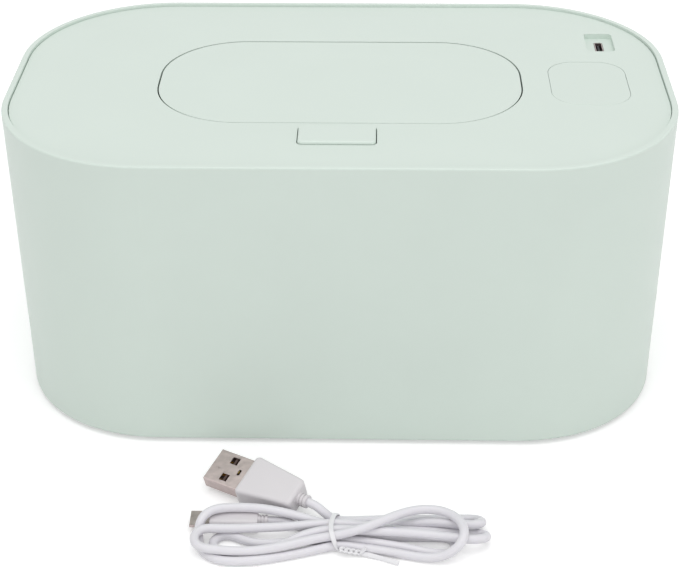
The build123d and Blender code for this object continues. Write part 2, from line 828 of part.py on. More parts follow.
def control_board():
    """Circuit board that hangs from the panel's bosses, its rear corner cut to follow the case."""
    outline = Polygon(
        (board_left, board_front),
        (board_right, board_front),
        (board_right, board_back - board_corner_cut_y),
        (board_right - board_corner_cut_x, board_back),
        (board_left, board_back),
        align=None,
    )
    outline = fillet(outline.vertices(), board_corner_round)
    board = extrude(Pos(0, 0, board_bottom) * outline, amount=board_thickness)
    for place in board_screw_places:
        board -= rod(place, board_bottom, board_top, small_screw_radius + screw_hole_gap)
    return board


def usb_socket_shell():
    """Upright metal shell of the charging socket, open at the top."""
    place = (pocket_x, pocket_y)
    outer = slab(socket_width, socket_length, socket_round, board_top, pocket_floor, place)
    skins = 2 * socket_skin
    return outer - slab(socket_width - skins, socket_length - skins, socket_round - socket_skin,
                        board_top + skins, pocket_floor, place)


def usb_socket_tongue():
    """Plastic tongue in the middle of the socket."""
    half = tongue_thickness / 2
    reach = socket_length / 2 - 3 * socket_skin
    return block(pocket_x - half, pocket_x + half, pocket_y - reach, pocket_y + reach,
                 board_top + 2 * socket_skin, pocket_floor - tongue_setback)


def display_digits():
    """Light bars behind the window: two digits of seven segments in one block."""
    top = board_top + digits_height
    y = window_y + digits_offset
    body = slab(digits_width, digits_depth, digits_round, board_top, top, (window_x, y))
    pitch = digits_depth / 2 - 2 * digit_stroke
    long = pitch - digit_stroke - digit_gap
    level_bar = Box(long, digit_stroke, digit_stroke)
    upright_bar = Box(digit_stroke, long, digit_stroke)
    for digit_x in (window_x - digits_width / 4, window_x + digits_width / 4):
        body -= [Pos(digit_x, y + row * pitch, top) * level_bar for row in (-1, 0, 1)]
        for row in (-1, 1):
            bar_y = y + row * pitch / 2
            body -= [Pos(digit_x + side * pitch / 2, bar_y, top) * upright_bar for side in (-1, 1)]
    return body


def touch_springs():
    """Two coils that press on the window and feel a finger through it."""
    y = window_y - window_depth / 2 + window_ledge + 2 * touch_spring_radius
    top = panel_top - window_thickness
    return [coil((window_x + side * touch_spring_spacing / 2, y), board_top, top, touch_spring_radius,
                 touch_spring_wire, touch_spring_turns) for side in (-1, 1)]


def microcontroller():
    """Square chip under the board."""
    low = board_bottom - chip_height
    chip = slab(chip_size, chip_size, chip_round, low, board_bottom, (window_x, window_y))
    mark = (window_x - chip_size / 3, window_y - chip_size / 3)
    return chip - rod(mark, low, low + chip_mark_depth, chip_mark_radius)


def power_components():
    """Coil block, capacitor and switching transistor under the board."""
    x = board_left + coil_block_size
    inductor = slab(coil_block_size, coil_block_size, coil_block_round, board_bottom - coil_block_height,
                    board_bottom, (x, window_y + coil_block_size))
    place = (x, window_y - capacitor_radius)
    capacitor = rod(place, board_bottom - capacitor_height, board_bottom, capacitor_radius)
    transistor = block(board_right - 2 * transistor_size, board_right - transistor_size, window_y,
                       window_y + transistor_size, board_bottom - transistor_height, board_bottom)
    return [inductor, capacitor, transistor]


def heater_wire_xs():
    """Where the two heater wires leave their connector."""
    x = pocket_x - connector_width
    return [x - wire_spacing / 2, x + wire_spacing / 2]


def sensor_wire_xs():
    return [board_mid_x - sensor_wire_spacing / 2, board_mid_x + sensor_wire_spacing / 2]


def wire_connectors():
    """Two plastic headers under the board."""
    low = board_bottom - connector_height
    back = board_back - heater_connector_back
    x = sum(heater_wire_xs()) / 2
    half = connector_width / 2
    heater = block(x - half, x + half, back - connector_length, back, low, board_bottom)
    front = board_front + sensor_connector_back
    back = front + sensor_connector_length
    half = sensor_connector_width / 2
    sensor = block(board_mid_x - half, board_mid_x + half, front, back, low, board_bottom)
    return [heater, sensor]


def wire(x, y_start, y_end, z_end, radius):
    """Wire from a connector's face along Y and then down."""
    z = board_bottom - connector_height / 2
    path = FilletPolyline((x, y_start, z), (x, y_end, z), (x, y_end, z_end), radius=wire_bend)
    section = Plane(origin=path @ 0, z_dir=path % 0) * Circle(radius)
    return sweep(section, path=path)


def heater_wires():
    """Two wires from the board to the heating film."""
    start = board_back - heater_connector_back
    return [wire(x, start, heater_wire_y, film_top, wire_radius) for x in heater_wire_xs()]


def sensor_wires():
    """Two thin wires from the board to the thermistor."""
    start = board_front + sensor_connector_back
    end = film_top + sensor_height
    return [wire(x, start, sensor_y, end, sensor_wire_radius) for x in sensor_wire_xs()]


# ---- fasteners ----
def cover_screws():
    length = cover_screw_length - piece_gap
    return [screw(place, foam_top, length, cover_screw_radius) for place in cover_screw_places]


def small_screws(places, seat):
    return [screw(place, seat, small_screw_length, small_screw_radius) for place in places]


def heater_screws():
    return small_screws(heater_screw_places, cover_bottom)


def board_screws():
    return small_screws(board_screw_places, board_bottom)


# ---- charging lead ----
def at_usb_plug(shape):
    """Place a shape whose X axis runs from the plug's open end to its cord."""
    place = Pos(usb_tip[0], case_front + usb_tip[1], usb_centre_z)
    return place * Rot(0, 0, usb_heading) * Rot(usb_roll, 0, 0) * shape


def usb_plug_shell():
    """Folded metal sleeve with two square windows on each broad side and a slot in the upper one."""
    length = usb_shell_length
    shell = Pos(length / 2, 0, 0) * Box(length, usb_shell_width, usb_shell_height)
    shell = fillet(shell.edges().filter_by(Axis.X), usb_skin)
    inner_width = usb_shell_width - 2 * usb_skin
    shell -= Pos(length / 2, 0, 0) * Box(length, inner_width, usb_shell_height - 2 * usb_skin)
    window = Box(usb_window_size, usb_window_size, usb_shell_height)
    shell -= [Pos(usb_window_x, side * usb_window_y, 0) * window for side in (1, -1)]
    slot = extrude(SlotOverall(usb_slot_length, usb_slot_width, rotation=90), amount=usb_shell_height)
    shell -= Pos(usb_slot_x, 0, 0) * slot
    return at_usb_plug(shell)


def usb_plug_tongue():
    """Plastic tongue that fills the lower half of the sleeve."""
    width = usb_shell_width - 2 * usb_skin
    length = usb_shell_length - usb_tongue_setback
    low = usb_skin - usb_shell_height / 2
    x = usb_shell_length - length / 2
    return at_usb_plug(Pos(x, 0, low + usb_tongue_height / 2) * Box(length, width, usb_tongue_height))


def usb_plug_contacts():
    """Four contact strips on the tongue."""
    z = usb_skin - usb_shell_height / 2 + usb_tongue_height + usb_contact_height / 2
    strip = Box(usb_contact_length, usb_contact_width, usb_contact_height)
    x = usb_contact_setback + usb_contact_length / 2
    middle = (usb_contact_count - 1) / 2
    ys = [(place - middle) * usb_contact_pitch for place in range(usb_contact_count)]
    return [at_usb_plug(Pos(x, y, z) * strip) for y in ys]


def relief(length, radius, x):
    """Ribbed sleeve where a cord leaves its plug."""
    body = Pos(x + length / 2, 0, 0) * Rot(0, 90, 0) * Cylinder(radius, length)
    groove = Cylinder(radius, relief_groove_width)
    groove -= Cylinder(radius - relief_groove_depth, relief_groove_width)
    pitch = length / (relief_groove_count + 1)
    for place in range(relief_groove_count):
        body -= Pos(x + (place + 1) * pitch, 0, 0) * Rot(0, 90, 0) * groove
    return body


def usb_plug_grip():
    """Moulded grip that narrows towards the cord."""
    x_front = usb_shell_length
    x_rear = x_front + usb_grip_length
    front = usb_grip_width / 2
    rear = usb_grip_rear_width / 2
    plan = Polygon((x_front, front), (x_rear, rear), (x_rear, -rear), (x_front, -front), align=None)
    grip = extrude(plan, amount=usb_grip_height / 2, both=True)
    grip = fillet(grip.edges().filter_by(Axis.Z), usb_grip_corner)
    grip = fillet(grip.faces().filter_by(Axis.Z).edges(), usb_grip_round)
    return at_usb_plug(grip + relief(usb_relief_length, usb_relief_radius, x_rear))


def at_micro_plug(shape):
    return Pos(micro_tip[0], case_front + micro_tip[1], micro_centre_z) * shape


def micro_plug_shell():
    """Small metal sleeve, narrower along one side."""
    half = micro_shell_width / 2
    low = -micro_shell_height / 2
    foot = half - micro_shell_taper
    corners = [(half, -low), (-half, -low), (-half, 0), (-foot, low), (foot, low), (half, 0)]
    outline = Polygon(*corners, align=None)
    shell = extrude(Plane.YZ * outline, amount=micro_shell_length)
    inner = offset(outline, -usb_skin)
    return at_micro_plug(shell - extrude(Plane.YZ * inner, amount=micro_shell_length - micro_shell_back))


def micro_plug_grip():
    """Slim moulded grip with its relief."""
    x = micro_shell_length
    grip = Box(micro_grip_length, micro_grip_width, micro_grip_height)
    grip = Pos(x + micro_grip_length / 2, 0, 0) * grip
    grip = fillet(grip.edges().filter_by(Axis.X), micro_grip_round)
    grip = fillet(grip.faces().sort_by(Axis.X)[0].edges(), micro_grip_front_round)
    return at_micro_plug(grip + relief(micro_relief_length, micro_relief_radius, x + micro_grip_length))


def hank_points():
    """Outline of the tied hank, in at the tie on both sides."""
    waist_back = (tie_x, tie_back_y)
    waist_front = (tie_x, tie_front_y)
    return [(x, case_front + y) for x, y in [waist_back] + hank_left + [waist_front] + hank_right]


def tie_ring(growth):
    """Closed band round the waist of the hank."""
    left = tie_x - tie_width / 2
    right = tie_x + tie_width / 2
    front = case_front + tie_front_y
    back = case_front + tie_back_y
    skin = tie_thickness + growth
    outer = block(left, right, front - skin, back + skin, 0.0, hank_height + growth)
    return outer - block(left, right, front, back, tie_thickness, hank_height - tie_thickness)


def cable_hank():
    """Outer shape of the folded cord in front of the small plug, notched for the tie."""
    pad = extrude(Polygon(*hank_points(), align=None), amount=hank_height)
    pad = fillet(pad.edges().filter_by(Axis.Z), hank_corner_round)
    pad = fillet(pad.faces().sort_by(Axis.Z)[-1].edges(), hank_round)
    return pad - tie_ring(tie_notch)


def cable_lead():
    """Short free run of cord from each plug to the hank."""
    x = usb_shell_length + usb_grip_length + usb_relief_length
    tube = Rot(0, 90, 0) * Cylinder(cord_diameter / 2, lead_length)
    usb_run = at_usb_plug(Pos(x + lead_length / 2, 0, 0) * tube)
    x = micro_shell_length + micro_grip_length + micro_relief_length
    tube = Rot(0, 90, 0) * Cylinder(cord_diameter / 2, micro_lead_length)
    micro_run = at_micro_plug(Pos(x + micro_lead_length / 2, 0, 0) * tube)
    return [run - cable_hank() for run in (usb_run, micro_run)]


def twist_tie():
    """Ribbon round the hank with one loose end on the floor."""
    path = Polyline(*[(x, case_front + y) for x, y in tie_tail])
    ribbon = extrude(trace(path, tie_width), amount=tie_thickness)
    return tie_ring(0.0) + (ribbon - cable_hank())


# ---- everything, one file per sub-part ----
SUBPARTS = [
    outer_case,
    rubber_feet,
    cover_top_panel,
    cover_bottom_shell,
    cover_seal_ring,
    release_button,
    button_springs,
    heater_plate,
    heating_film,
    insulation_foam,
    thermal_fuse,
    thermistor,
    lid_outer_shell,
    lid_inner_shell,
    lid_gasket,
    lid_catch_hook,
    hinge_pin,
    lid_springs,
    mouth_collar,
    opening_lip,
    display_window,
    control_board,
    usb_socket_shell,
    usb_socket_tongue,
    display_digits,
    touch_springs,
    microcontroller,
    power_components,
    wire_connectors,
    heater_wires,
    sensor_wires,
    cover_screws,
    heater_screws,
    board_screws,
    usb_plug_shell,
    usb_plug_tongue,
    usb_plug_contacts,
    usb_plug_grip,
    micro_plug_shell,
    micro_plug_grip,
    cable_hank,
    cable_lead,
    twist_tie,
]

os.makedirs("parts", exist_ok=True)
for make in SUBPARTS:
    shape = make()
    if isinstance(shape, list):
        shape = Compound(children=[solid for item in shape for solid in item.solids()])
    export_step(shape, f"parts/{make.__name__}.step")
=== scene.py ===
"""Looks of a baby wipe warmer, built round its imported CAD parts.

The charging lead, its tie, the ribs in the large plug, the feet and the button's springs are
modelled here. The other pieces are the CAD parts with their finishes. Sizes in the tables
below are millimetres, and Blender's are metres.
"""
import json
import math

import bmesh
import bpy
from bpy.props import FloatProperty, FloatVectorProperty, IntProperty, PointerProperty
from mathutils import Matrix, Vector


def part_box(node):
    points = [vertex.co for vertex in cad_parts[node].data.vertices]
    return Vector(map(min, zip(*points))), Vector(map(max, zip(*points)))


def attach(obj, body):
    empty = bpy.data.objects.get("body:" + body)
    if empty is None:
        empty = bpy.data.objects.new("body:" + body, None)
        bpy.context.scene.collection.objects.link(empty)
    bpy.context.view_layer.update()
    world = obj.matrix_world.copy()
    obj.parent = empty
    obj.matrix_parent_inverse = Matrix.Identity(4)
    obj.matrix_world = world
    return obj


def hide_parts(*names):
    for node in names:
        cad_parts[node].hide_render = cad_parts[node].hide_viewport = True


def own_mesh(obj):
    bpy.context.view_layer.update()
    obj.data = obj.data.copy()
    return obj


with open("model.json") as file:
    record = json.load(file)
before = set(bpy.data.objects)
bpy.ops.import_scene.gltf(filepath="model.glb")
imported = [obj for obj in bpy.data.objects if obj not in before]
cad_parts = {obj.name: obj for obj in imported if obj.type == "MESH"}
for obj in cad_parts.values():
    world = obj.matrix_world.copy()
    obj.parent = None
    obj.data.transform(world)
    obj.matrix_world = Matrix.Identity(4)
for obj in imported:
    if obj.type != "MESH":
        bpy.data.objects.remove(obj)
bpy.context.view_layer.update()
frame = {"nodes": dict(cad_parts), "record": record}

bl_info = {
    "name": "Baby wipe warmer",
    "version": (1, 0, 0),
    "blender": (4, 5, 0),
    "location": "3D View > Sidebar > Wipe warmer",
    "description": "Charging lead, tie, feet, springs, finishes and studio for a wipe warmer",
    "category": "Object",
}

MM = 0.001
nodes = frame["nodes"]
record = frame["record"]

# ---- places read from the frame, in millimetres ----
case_low = Vector(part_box("outer_case")[0]) / MM
feet_low, feet_high = [Vector(corner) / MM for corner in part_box("rubber_feet")]
springs_low, springs_high = [Vector(corner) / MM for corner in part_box("button_springs")]
case_front = case_low.y

# ---- camera ----
CAMERA_PLACE = (13.85, -514.31, 333.0)
CAMERA_DOWN = 31.1                # degrees below level
CAMERA_TURN = 1.60                # degrees to the left of +Y
CAMERA_ROLL = -0.37
CAMERA_LENS = 90.57
SENSOR_WIDTH = 36.0

# ---- charging lead: the control points of its spline, as x, y from the case's front, z ----
# It is laid strand by strand in the order of the folds, and goes through the tie after each.
LEAD_EXIT = (-8.09, -36.09, 5.56)
USB_LEAD = [
    LEAD_EXIT, (-5.5, -37.6, 5.4), (-3.2, -39.0, 4.1), (-1.0, -40.1, 2.8),
    (1.5, -40.6, 2.0),
]
BACK_RIGHT_FOLD = [
    (6.0, -40.2, 1.6), (13.0, -39.3, 1.4), (21.0, -38.9, 1.4), (29.0, -38.8, 1.4),
    (35.5, -38.6, 1.4), (39.8, -38.4, 1.4), (42.4, -38.4, 1.4), (44.4, -39.7, 2.1),
    (45.2, -41.8, 3.1), (44.4, -44.0, 4.2), (42.4, -45.2, 4.7), (40.2, -45.3, 4.7),
    (37.0, -44.6, 4.4), (32.0, -43.2, 3.8), (24.5, -41.8, 2.4), (16.0, -41.8, 1.5),
    (8.0, -42.8, 1.5), (1.5, -43.5, 2.0),
]
OUTER_LEFT_LOOP = [
    (-3.0, -43.1, 2.8), (-8.0, -42.2, 4.0), (-13.0, -41.3, 4.9), (-18.0, -40.6, 5.7),
    (-23.5, -40.0, 6.1), (-29.0, -39.8, 6.1), (-33.3, -40.2, 6.2), (-37.0, -41.5, 6.3),
    (-39.6, -44.0, 5.6), (-40.6, -47.0, 3.6), (-40.3, -50.3, 1.5), (-39.3, -54.0, 1.4),
    (-37.0, -57.0, 1.4), (-33.6, -59.0, 1.4), (-29.0, -59.5, 1.4), (-22.5, -59.0, 1.4),
    (-14.0, -56.8, 1.4), (-5.0, -53.8, 1.5), (1.5, -52.0, 2.0),
]
LARGE_RIGHT_LOOP = [
    (8.5, -52.6, 1.5), (15.0, -53.8, 1.4), (21.4, -55.4, 1.4), (27.0, -56.8, 1.4),
    (32.0, -57.6, 2.3), (36.0, -57.0, 4.3), (38.6, -55.2, 6.4), (39.4, -51.2, 7.6),
    (37.9, -46.2, 7.5), (34.2, -41.8, 6.9), (28.6, -40.2, 6.6), (22.8, -41.8, 7.0),
    (16.5, -45.6, 7.2), (9.0, -50.0, 6.6), (1.5, -50.6, 4.5),
]
MIDDLE_LEFT_LOOP = [
    (-4.5, -51.7, 4.2), (-10.5, -54.2, 4.3), (-17.5, -56.2, 3.9), (-24.0, -56.9, 3.3),
    (-30.0, -57.2, 3.5), (-34.5, -57.2, 4.0), (-38.3, -57.0, 4.3), (-40.6, -55.4, 4.5),
    (-41.4, -52.8, 4.8), (-40.6, -50.2, 5.0), (-38.3, -48.6, 5.0), (-34.5, -48.0, 4.5),
    (-30.0, -47.4, 4.0), (-23.5, -46.7, 3.8), (-16.0, -46.3, 3.9), (-10.0, -45.9, 4.2),
    (-5.0, -45.4, 4.5), (1.5, -44.9, 4.5),
]
FRONT_RIGHT_FOLD = [
    (7.0, -44.8, 4.0), (13.0, -44.7, 2.9), (20.0, -44.6, 1.7), (28.0, -44.6, 1.4),
    (36.0, -44.8, 1.4), (40.8, -45.1, 1.4), (43.5, -45.2, 1.4), (45.5, -46.5, 2.1),
    (46.3, -48.6, 3.1), (45.5, -50.8, 4.2), (43.5, -52.0, 4.8), (41.2, -52.2, 4.8),
    (38.0, -51.6, 4.7), (33.0, -50.4, 4.4), (24.5, -48.9, 4.2), (14.0, -48.1, 4.1),
    (7.0, -47.8, 4.3), (1.5, -47.7, 4.5),
]
INNER_LEFT_LOOP = [
    (-4.5, -48.7, 4.5), (-10.0, -51.0, 4.2), (-16.0, -53.8, 2.2), (-22.5, -54.4, 1.4),
    (-27.5, -54.9, 1.4), (-30.7, -55.2, 1.4), (-33.2, -55.2, 1.4), (-35.2, -53.7, 1.4),
    (-36.0, -51.4, 1.4), (-35.2, -49.0, 1.4), (-33.2, -47.6, 1.4), (-30.8, -47.7, 1.4),
    (-28.2, -48.7, 1.4), (-25.6, -50.2, 1.4), (-22.0, -51.2, 1.4), (-15.0, -50.8, 1.4),
    (-8.5, -49.8, 1.4), (-3.5, -49.3, 1.6), (1.5, -49.2, 2.0),
]
HIDDEN_RIGHT_FOLD = [
    (8.0, -49.6, 1.6), (16.0, -50.8, 1.4), (24.0, -52.8, 1.4), (29.0, -54.4, 1.4),
    (31.5, -54.8, 1.4), (34.0, -55.0, 1.4), (36.0, -53.5, 1.4), (36.8, -51.1, 1.4),
    (36.0, -48.8, 1.4), (34.0, -47.4, 1.4), (31.3, -47.3, 1.4), (27.5, -47.4, 1.4),
    (21.0, -47.5, 1.4), (11.5, -47.0, 1.4), (1.5, -46.3, 2.0),
]
MICRO_LEAD = [
    (-3.5, -45.6, 1.6), (-7.5, -44.2, 1.4), (-11.5, -42.7, 1.6), (-14.5, -41.7, 2.1),
    (-17.2, -41.5, 2.3), (-20.0, -41.5, 2.3),
]
LEAD_ROUTE = (USB_LEAD + BACK_RIGHT_FOLD + OUTER_LEFT_LOOP + LARGE_RIGHT_LOOP + MIDDLE_LEFT_LOOP
              + FRONT_RIGHT_FOLD + INNER_LEFT_LOOP + HIDDEN_RIGHT_FOLD + MICRO_LEAD)
GRIP_NODES = ["usb_plug_grip", "micro_plug_grip"]
PLUG_NODES = ["usb_plug_shell", "usb_plug_tongue", "usb_plug_contacts", "micro_plug_shell"]

# ---- twist tie: control points as x, y from the case's front, z ----
TIE_BAND = [
    (1.7, -46.0, 0.45), (1.7, -41.2, 0.45), (1.6, -39.2, 0.8), (1.4, -38.7, 2.4),
    (0.9, -40.4, 4.7), (0.0, -43.4, 6.1), (-0.6, -47.7, 6.3), (-0.4, -51.4, 6.2),
    (0.5, -53.6, 4.8), (1.4, -54.1, 2.4), (1.8, -53.6, 0.7), (1.7, -51.0, 0.45),
]
TIE_CORNER = 0.45                 # radius of the ribbon's edges, as a share of its thickness
TWIST_START = (2.2, -54.7, 2.6)
TWIST_END = (8.2, -54.8, 1.3)
TWIST_TURNS = 2.0
TWIST_STEPS = 20
TWIST_RADIUS = 0.4                # from the middle of the twist to the middle of each ribbon
TIE_TAIL = [TWIST_END, (9.9, -54.9, 1.0), (13.3, -55.9, 0.7), (17.0, -57.4, 0.7),
            (19.8, -58.6, 0.7)]
TAIL_TURN = 40.0                  # degrees that the loose end stands up on its edge
TIE_STUB = [TWIST_END, (9.1, -54.5, 1.9), (10.0, -54.2, 2.7)]

# ---- springs under the button ----
SPRING_RADIUS = 1.9               # of the wire's centreline
SPRING_WIRE = 0.2                 # the wire's radius
SPRING_TURNS = 7.0

# ---- ribs of the insert under the large plug's windows, in the plug's own directions ----
PLUG_TIP = (-38.0, -19.3, 5.56)   # middle of the open end: x, y from the case's front, z
PLUG_HEADING = -29.3              # degrees, from the open end to the cord
PLUG_ROLL = 18.0
RIB_X = 6.3                       # from the open end to the middle of the ribs
RIB_Y = 3.3                       # to each side
RIB_WIDTH = 1.0
RIB_LENGTH = 2.8                  # across the plug, a little more than the window
RIB_TOP = 1.85                    # above the plug's middle, just under the sleeve
RIB_FOOT = 0.95                   # top of the insert, which carries the ribs
RIB_STEPS = 8

FOOT_RADIUS = 7.0


# ---- small tools ----
def linear(code):
    """Linear RGBA of an sRGB hex colour."""
    channels = [int(code[start:start + 2], 16) / 255 for start in (1, 3, 5)]
    return [c / 12.92 if c <= 0.04045 else ((c + 0.055) / 1.055) ** 2.4 for c in channels] + [1.0]


def darker(colour, share):
    """The colour with a share of its light taken away."""
    return [channel * (1.0 - share) for channel in colour[:3]] + [1.0]


def add_node(tree, kind, inputs=None, **settings):
    """Add a node, set its properties, and set or link its inputs."""
    node = tree.nodes.new(kind)
    for name, value in settings.items():
        setattr(node, name, value)
    for name, value in (inputs or {}).items():
        if isinstance(value, bpy.types.NodeSocket):
            tree.links.new(value, node.inputs[name])
        else:
            node.inputs[name].default_value = value
    return node


def from_front(x, y, z):
    """Metres in the frame from millimetres with y counted from the case's front."""
    return Vector((x, case_front + y, z)) * MM


def show(name, data):
    """Link a mesh, curve, lamp or camera into the scene as an object at the origin."""
    obj = bpy.data.objects.new(name, data)
    bpy.context.collection.objects.link(obj)
    return obj


def settings_of(context):
    """The settings of the add-on, kept with the scene."""
    return context.scene.wipe_warmer


# ---- families of finishes ----
NOISE_SPAN = {"From Min": 0.3, "From Max": 0.7}    # the noise seldom leaves this span
FLOW_SIZE = 24.0                  # millimetres across the clouds in a moulding's colour
WEAR_SIZE = 6.0                   # millimetres across its glossier and duller places
MOULDED_GLOSS = 0.03              # how far the roughness strays either way
METAL_GLOSS = 0.06


def new_material(name):
    """Empty material and its tree."""
    material = bpy.data.materials.new(name)
    material.use_nodes = True
    material.node_tree.nodes.clear()
    return material, material.node_tree


def moulded(name, colour, roughness, grain, depth, cloud=0.02, extra=None):
    """Moulded plastic or rubber: faint flow clouds in the colour, uneven gloss and a fine grain.

    grain and depth are the size and the height of the grain in millimetres.
    """
    material, tree = new_material(name)
    place = add_node(tree, "ShaderNodeTexCoord").outputs["Object"]
    flow = add_node(tree, "ShaderNodeTexNoise", {"Vector": place, "Scale": 1 / (FLOW_SIZE * MM)})
    flow_share = add_node(tree, "ShaderNodeMapRange", {"Value": flow.outputs["Fac"], **NOISE_SPAN})
    tint = add_node(tree, "ShaderNodeMix", {
        "Factor": flow_share.outputs["Result"], 6: darker(colour, cloud), 7: colour},
        data_type="RGBA")
    wear = add_node(tree, "ShaderNodeTexNoise", {"Vector": place, "Scale": 1 / (WEAR_SIZE * MM)})
    gloss = add_node(tree, "ShaderNodeMapRange", {
        "Value": wear.outputs["Fac"], "To Min": roughness - MOULDED_GLOSS,
        "To Max": roughness + MOULDED_GLOSS, **NOISE_SPAN})
    skin = add_node(tree, "ShaderNodeTexNoise", {"Vector": place, "Scale": 1 / (grain * MM)})
    bump = add_node(tree, "ShaderNodeBump", {"Height": skin.outputs["Fac"], "Distance": depth * MM})
    shader = add_node(tree, "ShaderNodeBsdfPrincipled", {
        "Base Color": tint.outputs[2], "Roughness": gloss.outputs["Result"], "IOR": 1.5,
        "Normal": bump.outputs["Normal"], **(extra or {})})
    add_node(tree, "ShaderNodeOutputMaterial", {"Surface": shader.outputs["BSDF"]})
    return material


def metal(name, colour, roughness, streak, stretch, depth, contrast=0.08):
    """Rolled, drawn or plated metal: streaks along one direction break up what it reflects.

    streak and depth are the width and the height of a streak in millimetres, and stretch
    scales each axis, so that a small number draws the streaks out along it.
    """
    material, tree = new_material(name)
    place = add_node(tree, "ShaderNodeTexCoord").outputs["Object"]
    drawn_out = add_node(tree, "ShaderNodeMapping", {"Vector": place, "Scale": stretch})
    lines = add_node(tree, "ShaderNodeTexNoise", {
        "Vector": drawn_out.outputs["Vector"], "Scale": 1 / (streak * MM), "Detail": 3.0})
    share = add_node(tree, "ShaderNodeMapRange", {"Value": lines.outputs["Fac"], **NOISE_SPAN})
    tint = add_node(tree, "ShaderNodeMix", {
        "Factor": share.outputs["Result"], 6: darker(colour, contrast), 7: colour},
        data_type="RGBA")
    gloss = add_node(tree, "ShaderNodeMapRange", {
        "Value": share.outputs["Result"], "To Min": roughness - METAL_GLOSS,
        "To Max": roughness + METAL_GLOSS})
    bump = add_node(tree, "ShaderNodeBump", {"Height": lines.outputs["Fac"], "Distance": depth * MM})
    shader = add_node(tree, "ShaderNodeBsdfPrincipled", {
        "Base Color": tint.outputs[2], "Metallic": 1.0, "Roughness": gloss.outputs["Result"],
        "Normal": bump.outputs["Normal"]})
    add_node(tree, "ShaderNodeOutputMaterial", {"Surface": shader.outputs["BSDF"]})
    return material


def patterned(material, tree, pattern, colour, contrast, roughness, height):
    """Non-metal whose pattern socket darkens the colour where it is low and stands up where high."""
    tint = add_node(tree, "ShaderNodeMix", {
        "Factor": pattern, 6: darker(colour, contrast), 7: colour}, data_type="RGBA")
    bump = add_node(tree, "ShaderNodeBump", {"Height": pattern, "Distance": height * MM})
    shader = add_node(tree, "ShaderNodeBsdfPrincipled", {
        "Base Color": tint.outputs[2], "Roughness": roughness, "Normal": bump.outputs["Normal"]})
    add_node(tree, "ShaderNodeOutputMaterial", {"Surface": shader.outputs["BSDF"]})
    return material


WAVE_TURN = 20.0                  # radians of a wave texture for each unit of its scale
FILM_TURN = 4.0                   # millimetres of the heating film for a radian of its bands


# ---- finishes: one for each material slot of the record, with the slot's name, and the grips' ----
def case_plastic(colours):
    # ABS from a spark-eroded mould: satin, with highlights spread softly over the rounded edges.
    # The real grain is about 0.1 mm, and is drawn coarser so that it shows.
    return moulded("satin_abs", colours.case, 0.42, 0.5, 0.004, 0.012)


def inner_plastic(colours):
    # moulded polypropylene: waxier, and a little whiter than the case
    return moulded("waxy_polypropylene", colours.inner, 0.48, 0.7, 0.006)


def foot_rubber(colours):
    # moulded rubber: matt, with a slight bloom
    return moulded("matt_rubber", linear("#9FA19F"), 0.8, 0.4, 0.02, 0.08)


def silicone(colours):
    # moulded silicone: milky, as light soaks a little way in
    return moulded("milky_silicone", linear("#DCE2DE"), 0.55, 0.6, 0.005, 0.02, {
        "Subsurface Weight": 0.15, "Subsurface Radius": (0.002, 0.002, 0.002),
        "Subsurface Scale": 1.0})


def window_plastic(colours):
    # polycarbonate dyed to the case's colour from a polished mould: a shade glossier
    return moulded("window_polycarbonate", colours.window, 0.38, 0.4, 0.002, 0.01)


def plate_metal(colours):
    # rolled aluminium sheet: fine lines along its length
    return metal("rolled_aluminium", linear("#D2D4D6"), 0.34, 0.35, (0.03, 1.0, 1.0), 0.003)


def film(colours):
    # amber polyimide film: glossy, with a broad dark printed band every 25 mm
    material, tree = new_material("amber_polyimide")
    place = add_node(tree, "ShaderNodeTexCoord").outputs["Object"]
    bands = add_node(tree, "ShaderNodeTexWave", {
        "Vector": place, "Scale": 1 / (WAVE_TURN * FILM_TURN * MM)},
        wave_type="BANDS", bands_direction="Y")
    bare = add_node(tree, "ShaderNodeMath", {0: bands.outputs["Fac"], 1: 0.6},
                    operation="GREATER_THAN")
    return patterned(material, tree, bare.outputs["Value"], linear("#B4702A"), 0.55, 0.3, 0.02)


def foam(colours):
    # closed-cell foam: small round pits, quite matt; each pit's colour is darkened with painted shade
    material, tree = new_material("closed_cell_foam")
    place = add_node(tree, "ShaderNodeTexCoord").outputs["Object"]
    cells = add_node(tree, "ShaderNodeTexVoronoi", {"Vector": place, "Scale": 1 / (0.9 * MM)})
    return patterned(material, tree, cells.outputs["Distance"], linear("#CFCFCB"), 0.2, 0.9, 0.12)


def steel(colours):
    # zinc-plated steel: grey with a faint blue, slightly cloudy
    return metal("zinc_plated_steel", linear("#B4B6B8"), 0.36, 0.8, (1.0, 1.0, 1.0), 0.004)


def spring_steel(colours):
    # drawn wire: long fine die lines
    return metal("drawn_spring_wire", linear("#A9AAAC"), 0.3, 0.15, (1.0, 1.0, 0.2), 0.003)


def hook_plastic(colours):
    # natural acetal: milky and slippery
    return moulded("natural_acetal", linear("#E6E6E0"), 0.3, 0.6, 0.003)


def board(colours):
    # glass-fibre board under green solder mask: its copper tracks just show through
    material, tree = new_material("green_solder_mask")
    place = add_node(tree, "ShaderNodeTexCoord").outputs["Object"]
    tracks = add_node(tree, "ShaderNodeTexBrick", {
        "Vector": place, "Scale": 1 / MM, "Brick Width": 5.0, "Row Height": 1.8,
        "Mortar Size": 0.25, "Mortar Smooth": 0.1})
    return patterned(material, tree, tracks.outputs["Fac"], linear("#2F7A4A"), 0.35, 0.28, 0.03)


def black_plastic(colours):
    # moulded epoxy: dark grey, matt, a little sandy
    return moulded("black_epoxy", linear("#26262A"), 0.6, 0.25, 0.01, 0.15)


def header_plastic(colours):
    # natural nylon: cream and slightly glossy
    return moulded("natural_nylon", linear("#E5DDC6"), 0.4, 0.6, 0.004)


def wire_jacket(colours):
    # extruded PVC: smooth, with a soft shine
    return moulded("red_pvc", linear("#B8231E"), 0.35, 0.8, 0.003, 0.06)


def sensor_bead(colours):
    # dipped epoxy: black and glossy
    return moulded("dipped_epoxy", linear("#17171A"), 0.15, 1.2, 0.01, 0.1)


